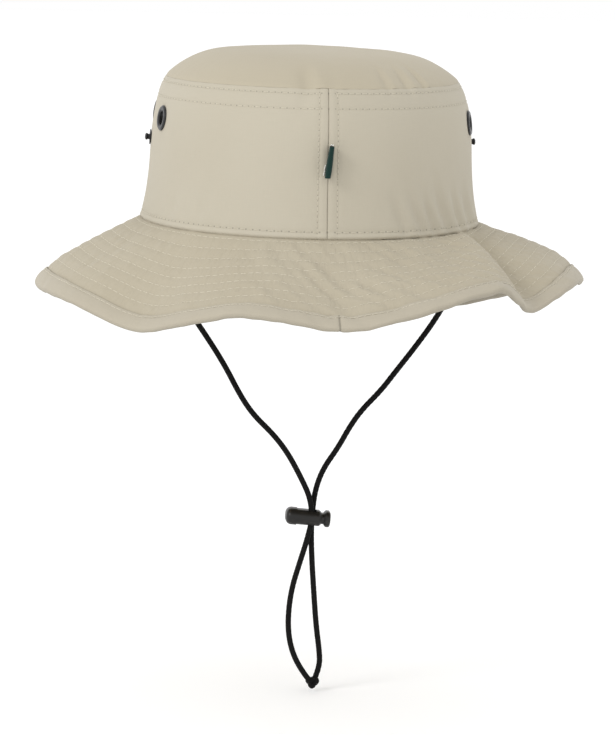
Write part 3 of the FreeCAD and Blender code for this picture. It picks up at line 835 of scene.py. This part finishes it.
def topFace(turn, share):
    # Over the dome: share runs from 0 in the middle to 1 at the top seam
    across = halfWidth(topSeam)
    edge, out = oval(turn, across, 0)
    flat = edge * share
    point = flat + up * (topSeam + crown["domeRise"] * (1 - share ** 5))
    out = (out * (5 * crown["domeRise"] * share ** 4 / across) + up).normalized()
    inward = (1 - share) * across
    lift = 1.2 * mm * noiseAt(flat.x * 16, flat.y * 16, 5.5) * min(1.0, 3 * (1 - share) + 0.04)
    lift += 0.3 * mm * noiseAt(flat.x * 60, flat.y * 60, 2.5) * min(1.0, 6 * (1 - share) + 0.1)
    for middle, level, wide, tall, depth, lean in crownDents:
        away = (turn - middle + lean * inward + 180) % 360 - 180
        if level > 60 * mm and abs(away) < 3 * wide:
            lift -= 2.0 * depth * dented(away, wide) * bell(inward, 3 * mm, 9 * mm)
    along = clothAlong(turn) * mm
    lift += 0.25 * mm * exp(-inward / (6 * mm)) * noiseAt(along * 170, inward * 40, 4.1)
    lift -= 0.4 * mm * bell(inward, 0, 0.8 * mm)
    return point + out * (lift - 0.1 * mm), out


def topFlat(turn, share):
    angle = radians(turn)
    reach = crown["topReach"] * share
    return reach * sin(angle), -reach * cos(angle)


def makeTop():
    # Finer steps towards the top seam
    shares = [0.002, 0.03, 0.07] + spaced(0.11, 0.90, 0.018)
    shares += spaced(0.907, 0.985, 0.007) + [0.99, 0.995, 0.9985]
    panel = clothPiece("crown_top", spaced(0, 360, 1.0), shares, topFace, topFlat, crown["cloth"], topCloth)
    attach(panel, "hat")
    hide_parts("crown_top_panel")


makeTop()


def crownStitches():
    # Rows round the crown, and upright rows beside the back and front seams
    sewing = Sewing(0.20 * mm, 0.17 * mm)
    pitch = rowsLook["pitch"]
    near, far = crown["stitchEnd"], clothAlong(179.9) - crown["stitchEnd"]
    for start, end in ((-far, -near), (near, far)):
        marks = [turnAt(k * pitch) for k in range(ceil(start / pitch), floor(end / pitch) + 1)]
        for row in ("base", "low", "high"):
            level = rowsLook[row] * mm
            sewing.row(lambda turn: crownFace(turn, level), marks, 0.72 if row == "base" else 0.78)
    for middle in (0, 180):
        for off in (-rowsLook["beside"], rowsLook["beside"]):
            turn = turnAt(clothAlong(middle) + off)
            marks = [k * rowsLook["uprightPitch"] * mm for k in range(2, 28)]
            sewing.row(lambda level: crownFace(turn, level), marks, 0.7)
    piece = sewing.done("crown_stitches", crownThread)
    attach(piece, "hat")


crownStitches()


# Layers inside the crown: directions, heights, distance in from the outline and thickness in millimetres
lining = {
    "sweatband": (0, 360, 0.2, 30, 1.65, 0.7), "topTape": (0, 360, 64.9, 71.2, 1.2, 0.5),
    "backTape": (-4.2288, 4.2288, 31.8, 63.3, 1.2, 0.5),
    "frontTape": (175.7712, 184.2288, 31.8, 63.3, 1.2, 0.5), "label": (-7.6, 7.6, 7.4, 22.9, 2.6, 0.3),
}


def liningPiece(name, node, layer, finish, ripple=0.0):
    # Pressed in where the crown is dented deeper than the gap to it
    lowTurn, highTurn = lining[layer][:2]
    low, high, inset, thick = (value * mm for value in lining[layer][2:])

    def face(turn, height):
        point, out = outline(turn, height)
        wave = ripple * noiseAt(clothAlong(turn) * 0.05, height * 30, 6.0)
        pressed = max(0.0, -crownLift(turn, height) - 0.7 * mm)
        return point - out * (inset + pressed - min(wave * (height - low) / (high - low), 0.0)), out
    turns = spaced(lowTurn, highTurn, 1.5 if highTurn - lowTurn > 30 else 0.5)
    piece = clothPiece(name, turns, spaced(low, high, 1.5 * mm), face, crownFlat, thick, finish)
    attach(piece, "hat")
    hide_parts(node)
    return face


bandFace = liningPiece("sweatband_cloth", "sweatband", "sweatband", bandCloth, 0.5 * mm)
for word in ("top", "back", "front"):
    liningPiece(f"{word}_tape", f"{word}_seam_tape", f"{word}Tape", tapeCloth)
liningPiece("blank_label", "size_label", "label", labelCloth)


def liningStitches():
    sewing = Sewing(0.2 * mm, 0.18 * mm)

    def inside(faceAt, depth):
        def face(turn):
            point, out = faceAt(turn)
            return point - out * depth, -out
        return face
    for level in (2.5 * mm, 28 * mm):
        face = inside(lambda turn: bandFace(turn, level), 0.7 * mm)
        sewing.row(face, evenMarks(face, 0, 359.5, 3.2 * mm, 2), 0.75)
    for level in (8.4 * mm, 21.9 * mm):
        face = inside(lambda turn: outline(turn, level), 2.9 * mm)
        sewing.row(face, evenMarks(face, -7, 7, 2.4 * mm, 1), 0.75)
    piece = sewing.done("lining_stitches", seamThread)
    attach(piece, "hat")


liningStitches()


# The ribbon's half outline and its threads' ends, in millimetres
ribbon = {
    "foot": 29.6 * mm, "tall": 15.2 * mm, "lean": 0.12, "off": 0.25 * mm, "thick": 0.3, "step": 0.8 * mm,
    "bulge": 0.12, "half": [(0.25, 1.0), (0.55, -1.0), (1.05, -3.5), (1.42, -6.0), (1.25, -7.3), (0.6, -8.3)],
    "threads": [
        ((0.95, -0.6, 15.5), (2.6, -0.5, 15.6)), ((1.2, -0.8, 15.9), (2.2, -1.0, 15.3)),
        ((-1.7, -1.2, 3.4), (-2.3, -1.0, 0.6)), ((-1.4, -1.2, 6.0), (-1.8, -1.1, 3.6)),
    ],
}


def makeTab():
    # A folded ribbon, its ends held in the back seam and its fold standing out
    foot, tall, thick = ribbon["foot"], ribbon["tall"], ribbon["thick"]
    wall = -(halfWidth(38 * mm) + crown["lengthening"])
    half = [Vector((x, y, 0)) for x, y in ribbon["half"]]
    path = [Vector((-p.x, p.y, 0)) for p in half] + half[::-1]
    sections = []
    for level in spaced(0, tall, ribbon["step"]):
        shift = Vector((ribbon["off"] + ribbon["lean"] * (level - tall / 2), wall, foot + level))
        swell = 1 + ribbon["bulge"] * sin(level / tall * 5.0)
        outer = [shift + Vector((p.x * swell, p.y, 0)) * mm for p in path]
        for p in path[::-1]:
            x = p.x * swell * (1 - thick / max(abs(p.x), 0.5))
            outer.append(shift + Vector((x, min(p.y + thick, 1.0), 0)) * mm)
        sections.append(outer)
    across = [k * 1.2 for k in range(len(path))]
    along = [k * 0.8 for k in range(len(sections))]
    tab = sweepPiece("ribbon_tab", sections, across + across[::-1], along, ribbonCloth, 70)
    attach(tab, "hat")
    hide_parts("back_seam_tab")
    sewing = Sewing(0.22 * mm, 0.1 * mm)
    for ends in ribbon["threads"]:
        a, b = (Vector((x * mm, wall + y * mm, foot + z * mm)) for x, y, z in ends)
        sewing.stitch([(a.lerp(b, f), Vector((0, -1, 0))) for f in stitchLook["shares"]])
    threads = sewing.done("tab_threads", whiteThread)
    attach(threads, "hat")


makeTab()


cordTab = {
    "aside": 81 * mm, "halfWide": 1.5 * mm, "halfDeep": 4.4 * mm, "tall": 8 * mm, "low": -3 * mm,
    "rounding": 0.6 * mm,
}


def makeAnchors():
    # Twill tabs folded over the cord's ends and sewn to the lower edge of the sweatband
    tall = cordTab["tall"]
    for side, word in ((-1, "left"), (1, "right")):
        def face(turn, row):
            angle = radians(turn)
            corner = (abs(cos(angle)) ** 4 + abs(sin(angle)) ** 4) ** -0.25
            pinch = 1 - 0.14 * bell(row, 1.4 * mm, 0.7 * mm) - 0.1 * bell(row, 6.6 * mm, 0.7 * mm)
            rim = min(1.0, 0.72 + 0.28 * sqrt(max(0.0, min(row, tall - row)) / cordTab["rounding"]))
            x = side * cordTab["aside"] + cordTab["halfWide"] * corner * cos(angle) * pinch * rim
            y = cordTab["halfDeep"] * corner * sin(angle) * rim
            return Vector((x, y, cordTab["low"] + row)), Vector((cos(angle), sin(angle), 0))
        tab = clothPiece(
            f"cord_tab_{word}", spaced(0, 360, 6), spaced(0, tall, 0.25 * mm), face,
            lambda turn, row: (turn * 0.06, row * 1000), 1.1 * mm, tapeCloth,
        )
        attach(tab, "hat")
        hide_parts(f"cord_anchor_{word}")


makeAnchors()
print("crown made")


# Brim

brim = {
    "width": 63.5 * mm, "ply": 0.6 * mm, "step": 0.72 * mm, "ridgeAt": 47.0, "ridgeWide": 20.0,
    "ridgeLean": 17.0, "rows": [2.4, 9.6, 16.6, 23.2, 29.2, 35.2, 41.2, 47.6], "bindingRow": 55.9,
    "pitch": 4.0 * mm, "bindingPitch": 3.6 * mm, "fullness": 1.35, "bindingFullness": 1.75,
    "turnStep": 0.6, "rowStep": 1.2 * mm, "crestFoot": 51.5, "crestEnd": 40.0, "crest": 3.0, "hollow": 4.0,
    "bow": 1.9, "curl": 5.5, "foldStart": 80 * mm, "foldEnd": 101 * mm, "join": 0.95,
}
# How far the brim hangs below level, by direction: 0 is the back and 90 the right side
hangs = [
    (-180, 45), (-160, 44), (-140, 43), (-120, 41), (-105, 36), (-90, 28.5), (-72, 29), (-58, 34),
    (-44, 45), (-30, 37), (-16, 29.5), (2, 36), (15, 28.5), (31, 18), (41.5, 28.5), (60, 20), (76, 21),
    (90, 23), (105, 33), (122, 48), (131, 57.5), (140, 64), (160, 54), (180, 45),
]


def hangAt(turn):
    # A smooth curve through the hangs
    turn = (turn + 180) % 360 - 180
    last = len(hangs) - 1
    k = max(i for i in range(last) if hangs[i][0] <= turn)
    before = hangs[k - 1] if k else (hangs[last - 1][0] - 360, hangs[last - 1][1])
    after = hangs[k + 2] if k + 2 <= last else (hangs[1][0] + 360, hangs[1][1])
    (start, a), (end, b) = hangs[k], hangs[k + 1]
    span = end - start
    slopeA = (b - before[1]) / (end - before[0]) * span
    slopeB = (after[1] - a) / (after[0] - start) * span
    u = (turn - start) / span
    return (a * (2 * u ** 3 - 3 * u ** 2 + 1) + slopeA * (u ** 3 - 2 * u ** 2 + u)
            + b * (3 * u ** 2 - 2 * u ** 3) + slopeB * (u ** 3 - u ** 2))


def brimPoint(turn, along):
    foot, out = oval(turn, halfWidth(0) - 0.9 * mm, -0.2 * mm)
    share = min(along / brim["width"], 1.0)
    lean = brim["ridgeLean"] * bell(turn, brim["ridgeAt"], brim["ridgeWide"]) * (1 - share)
    hang = radians(hangAt(turn - lean))
    tuck = 1 - 0.07 * bell(turn, 73, 12)
    fall = out * cos(hang) - up * sin(hang)
    return foot + fall * (along * tuck), out * sin(hang) + up * cos(hang)


def crease(turn, along):
    # The line where the side was folded up: a crest that runs askew over the brim, with a hollow behind it
    share = min(along / brim["width"], 1.0)
    off = turn - brim["crestFoot"] + (brim["crestFoot"] - brim["crestEnd"]) * share
    if abs(off) > 30:
        return 0.0
    grown = min(1.0, share / 0.12) * (1 - 0.6 * max(0.0, share - 0.7) / 0.3)
    crest = bell(off, -0.5, 7.0 if off < -0.5 else 1.1)
    return mm * grown * (brim["crest"] * crest - brim["hollow"] * bell(off, 5.5, 4.3))


def bow(turn, along):
    # At its sides the brim arches a little and then bends down at the binding
    share = min(along / brim["width"], 1.0)
    beside = bell(abs((turn + 180) % 360 - 180), 84, 19)
    curl = max(0.0, (share - 0.66) / 0.34) ** 1.7
    return mm * beside * (brim["bow"] * sin(pi * share) - brim["curl"] * curl)


def pucker(turn, along):
    # Slanting gathers, busiest at the back, on slow waves, with the fold line's crease and the sides' bow
    u = clothAlong(turn) * brim["fullness"]
    down = along * 1000
    busy = 0.35 + 1.5 * bell(turn, 9, 15) * bell(down, 38, 20)
    busy += 0.4 * bell(turn, 40, 24) + 0.5 * bell(turn, -10, 10)
    slant = noiseAt((u - 0.8 * down) * 0.17, (u + down) * 0.028, 2.0)
    cross = noiseAt((u + 0.3 * down) * 0.10, down * 0.05, 9.0)
    slow = noiseAt(u * 0.03, down * 0.035, 4.4)
    fade = min(1.0, down / 7)
    waves = mm * fade * (1.15 * slant * busy + 0.6 * cross * (0.4 + 0.6 * busy) + 0.8 * slow)
    return waves + crease(turn, along) + bow(turn, along)


def wander(turn):
    return 0.35 * noiseAt(clothAlong(turn) * 0.03, 1.0, 7.0)


def quilting(along, turn):
    # How far the stitched rows and the edge of the binding pull the cloth in
    down = along * 1000
    near = min(abs(down - row - wander(turn)) for row in brim["rows"])
    return mm * (0.36 * bell(near, 0, 1.1) + 0.3 * bell(down, 54.0, 0.7))


def rowAt(row, turn):
    return (row + wander(turn)) * mm


def brimFace(turn, along):
    point, out = brimPoint(turn, along)
    lift = pucker(turn, along) - quilting(along, turn) - 0.5 * mm * bell(along, 0, 0.8 * mm)
    return point + out * lift, out


def layerFace(depth, sign):
    # A layer under the brim's upper cloth, which follows its waves
    def face(turn, along):
        point, out = brimPoint(turn, along)
        return point + out * (pucker(turn, along) - depth + sign * quilting(along, turn)), out
    return face


def brimFlat(turn, along):
    return clothAlong(turn) * brim["fullness"], along * 1000


underFace = layerFace(2 * brim["step"] + brim["ply"], 1)


def underUpside(turn, along):
    point, out = underFace(turn, along)
    return point, -out


# The tape's section in millimetres down the brim and out of it: over the edge, then back inside
binding = {
    "outer": [
        (54.5, 0.0), (54.55, 0.45), (55.0, 0.68), (55.9, 0.4), (56.8, 0.7), (58.2, 0.95), (60.6, 0.98),
        (62.3, 0.72), (63.3, 0.1), (63.75, -0.8), (63.6, -1.75), (63.0, -2.5), (61.6, -2.95), (59.0, -3.0),
        (56.6, -2.75), (55.6, -2.5), (54.8, -2.7), (54.4, -2.5),
    ],
    "inner": [(54.5, -2.08), (58.0, -2.08), (62.6, -2.06), (62.9, -1.0), (62.6, 0.0), (58.0, 0.0)],
    "middle": -1.02, "swell": 0.25, "joinPinch": 0.3, "crinkle": 0.06,
}


def bindingSection(turn):
    swell = 1 + binding["swell"] * noiseAt(clothAlong(turn) * 0.06, 3.0, 3.0)
    swell *= 1 - binding["joinPinch"] * bell(turn, brim["join"], 0.3)
    points = []
    for k, (along, lift) in enumerate(binding["outer"] + binding["inner"]):
        point, out = brimPoint(turn, along * mm)
        if k < len(binding["outer"]):
            crinkle = binding["crinkle"] * noiseAt(clothAlong(turn) * 0.4, along, 1.0)
            lift = (lift - binding["middle"]) * swell + binding["middle"] + crinkle
        points.append(point + out * (lift * mm + pucker(turn, min(along, 63.0) * mm)))
    return points


def brimStitches(word, low, high):
    # Eight rows and the binding's row: the threads on top, and those that show below
    def sew(sewing, face, pitch, share):
        sewing.row(face, evenMarks(face, low, high, pitch, 1.0), share)

    def onBinding(turn, lift=0.5, side=1):
        point, out = brimPoint(turn, brim["bindingRow"] * mm)
        return point + out * (lift * mm + pucker(turn, brim["bindingRow"] * mm)), out * side
    top, below = Sewing(0.155 * mm, 0.15 * mm), Sewing(0.2 * mm, 0.15 * mm)
    for row in brim["rows"]:
        sew(top, lambda turn: brimFace(turn, rowAt(row, turn)), brim["pitch"], 0.74)
    sew(top, onBinding, brim["bindingPitch"], 0.8)
    for row in brim["rows"][1:]:
        sew(below, lambda turn: underUpside(turn, rowAt(row, turn)), brim["pitch"], 0.84)
    sew(below, lambda turn: onBinding(turn, -2.52, -1), brim["bindingPitch"], 0.8)
    return top.done(f"quilting_{word}", seamThread), below.done(f"quilting_under_{word}", seamThread)


def makeBrim():
    for side, word in ((-1, "left"), (1, "right")):
        low, high = (0.0, 180.0) if side > 0 else (-180.0, 0.0)
        turns = spaced(low, high, brim["turnStep"])
        if side > 0:  # finer steps over the crease
            turns = sorted({*turns, *spaced(36.1, 60.1, 0.4)})
        rows = [-0.6 * mm, 0.0, 0.6 * mm] + spaced(1.2 * mm, 62.4 * mm, brim["rowStep"])
        upper = clothPiece(f"brim_top_{word}", turns, rows, brimFace, brimFlat, brim["ply"], brimCloth)
        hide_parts("brim_upper_ply", f"brim_{word}_upper_ply")
        middle = clothPiece(
            f"brim_lining_{word}", spaced(low, high, 0.9), spaced(1 * mm, 62 * mm, 2 * mm),
            layerFace(1.2 * mm, 0), brimFlat, 0.25 * mm, liningCloth,
        )
        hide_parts("brim_interlining", f"brim_{word}_interlining")
        lower = clothPiece(
            f"brim_under_{word}", turns, rows[1:], underUpside, brimFlat, brim["ply"], undersideCloth,
        )
        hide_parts("brim_lower_ply", f"brim_{word}_lower_ply")
        first, last = (brim["join"], high) if side > 0 else (low, brim["join"])
        along = sorted({*spaced(first, last, 0.8), *(brim["join"] + side * k for k in (0.2, 0.4, 0.6))})
        sections = [bindingSection(turn) for turn in along]
        across = [0.9 * k for k in range(len(sections[0]))]
        flats = [(clothAlong(turn) - clothAlong(brim["join"])) * brim["bindingFullness"] for turn in along]
        tape = sweepPiece(f"brim_binding_{word}", sections, across, flats, bindingCloth, 50)
        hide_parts(f"brim_{word}_binding", "brim_back_binding", "brim_front_binding")
        quilted, under = brimStitches(word, low, high)
        for piece in (upper, middle, lower, tape, quilted, under):
            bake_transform(piece)


makeBrim()
print("brim made")


# The coil spring in the toggle, wound from its seat to its tip; the real spring shortens towards its seat as
# the plunger goes in, but this coil stays at one length

spring = {
    "tilt": radians(5), "radius": 1.9 * mm, "wire": 0.25 * mm, "turns": 4.5, "press": 1.5 * mm,
    "steps": 160, "sides": 10,
}


def makeSpring():
    wire, sides = spring["wire"], spring["sides"]
    axis = Vector((-cos(spring["tilt"]), 0, sin(spring["tilt"])))
    low, high = (Vector(corner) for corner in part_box("toggle_spring"))
    middle = (low + high) / 2
    reach = [(v.co - middle).dot(axis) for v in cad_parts["toggle_spring"].data.vertices]
    seat, tip = max(reach), min(reach)
    deep = Vector((0, 1, 0))
    tall = axis.cross(deep)
    sections = []
    for k in range(spring["steps"] + 1):
        share = k / spring["steps"]
        turn = tau * spring["turns"] * share
        away = deep * cos(turn) + tall * sin(turn)
        spot = middle + axis * (seat - wire + (tip - seat + 2 * wire) * share) + away * spring["radius"]
        angles = [tau * n / sides for n in range(sides)]
        sections.append([spot + (away * cos(a) + axis * sin(a)) * wire for a in angles])
    coil = sweepPiece("coil_spring", sections, range(sides), range(len(sections)), springSteel, 80)
    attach(coil, "toggle")
    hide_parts("toggle_spring")
    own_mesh(coil)


makeSpring()


# The fittings keep their CAD shapes and take their finishes

def finishNodes():
    finishes = {
        "vent_eyelet": eyeletEnamel, "eyelet_washer": washerEnamel, "stud_back_plate": washerEnamel,
        "snap_stud": snapEnamel, "snap_socket": snapEnamel, "socket_cap": snapEnamel,
        "toggle_body": togglePlastic, "toggle_plunger": togglePlastic,
    }
    for name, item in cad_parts.items():
        for start, finish in finishes.items():
            if name.startswith(start):
                for place in item.material_slots:
                    place.link = "OBJECT"
                    place.material = finish


finishNodes()
print("fittings finished")
